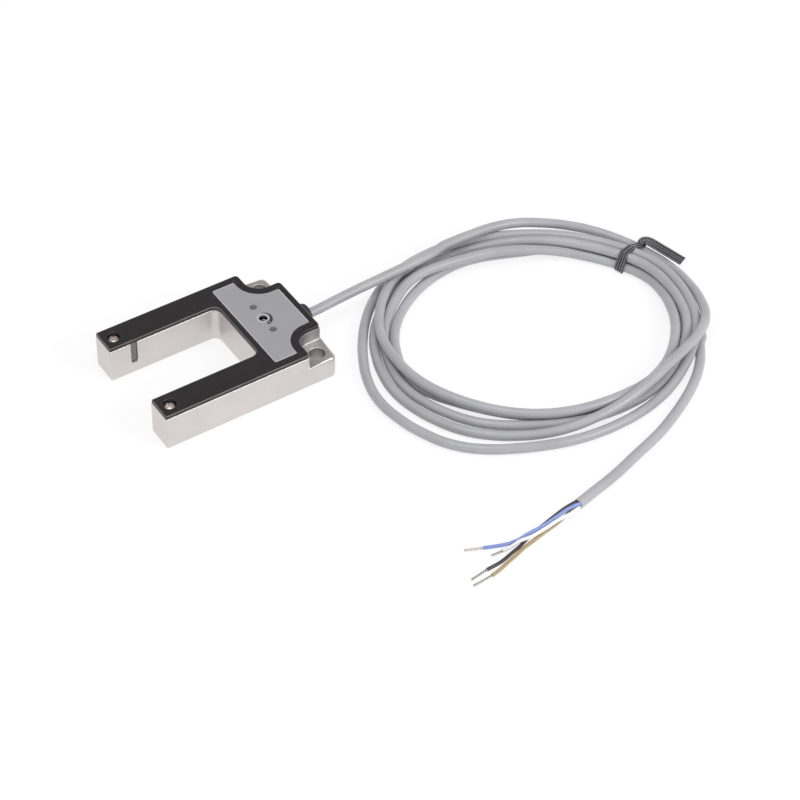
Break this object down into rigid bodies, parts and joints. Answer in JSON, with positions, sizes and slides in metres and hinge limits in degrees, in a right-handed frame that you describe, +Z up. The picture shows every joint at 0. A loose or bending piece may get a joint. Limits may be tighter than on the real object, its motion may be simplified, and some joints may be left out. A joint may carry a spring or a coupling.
{
  "type": "fork light barrier",
  "caption": "U-shaped metal fork light barrier with a black cover, slit windows facing across its slot, screw ears, a sensitivity trimmer and a coiled cable that ends in bare wires.",
  "frame": {"origin": "middle of the housing's underside", "axes": "+Y from the arm tips to the back where the cable leaves, +Z up through the cover, +X across the slot towards the receiver arm"},
  "size_m": [0.1647, 0.2154, 0.0158],
  "materials": {
    "cast_metal": "satin nickel-plated casting",
    "cover_black": "matte",
    "gasket": "matte",
    "label": "satin",
    "screw_steel": "bright",
    "filter_window": "smooth dark filter",
    "diode_clear": "clear resin",
    "diode_dark": "dark resin",
    "circuit_board": "solder mask",
    "ribbon": "matte",
    "trimmer_blue": "matte",
    "rotor_ivory": "matte",
    "led_green": "resin",
    "led_amber": "resin",
    "light_pipe": "translucent",
    "chip_black": "moulded",
    "component_tan": "matte",
    "gland_rubber": "matte",
    "cable_grey": "satin sheath",
    "wire_mixed": "satin insulation",
    "tie_black": "matte",
    "wire_blue": "satin insulation",
    "wire_white": "satin insulation",
    "wire_black": "satin insulation",
    "wire_brown": "satin insulation",
    "tinned_wire": "tinned"
  },
  "bodies": {
    "sensor_body": {"housing": "cast_metal", "top_cover": "cover_black", "cover_gasket": "gasket", "label_plate": "label", "cover_screws": "screw_steel", "emitter_window": "filter_window", "receiver_window": "filter_window", "emitter_diode": "diode_clear", "receiver_diode": "diode_dark", "emitter_board": "circuit_board", "receiver_board": "circuit_board", "emitter_ribbon": "ribbon", "receiver_ribbon": "ribbon", "main_board": "circuit_board", "trimmer_body": "trimmer_blue", "power_led": "led_green", "output_led": "led_amber", "power_light_pipe": "light_pipe", "output_light_pipe": "light_pipe", "amplifier_chip": "chip_black", "board_components": "component_tan", "cable_gland": "gland_rubber", "cable_entry": "cable_grey", "entry_wires": "wire_mixed", "cable_lead": "cable_grey", "cable_coil": "cable_grey", "cable_tail": "cable_grey", "twist_tie": "tie_black", "wire_blue": "wire_blue", "wire_white": "wire_white", "wire_black": "wire_black", "wire_brown": "wire_brown", "tip_blue": "tinned_wire", "tip_white": "tinned_wire", "tip_black": "tinned_wire", "tip_brown": "tinned_wire"},
    "trimmer": {"trimmer_rotor": "rotor_ivory"}
  },
  "joints": [
    {"name": "trimmer_turn", "type": "hinge", "parent": "sensor_body", "child": "trimmer", "pos_m": [0, 0.02, 0.0125], "axis": [0, 0, 1], "range_deg": [-135, 135]}
  ]
}
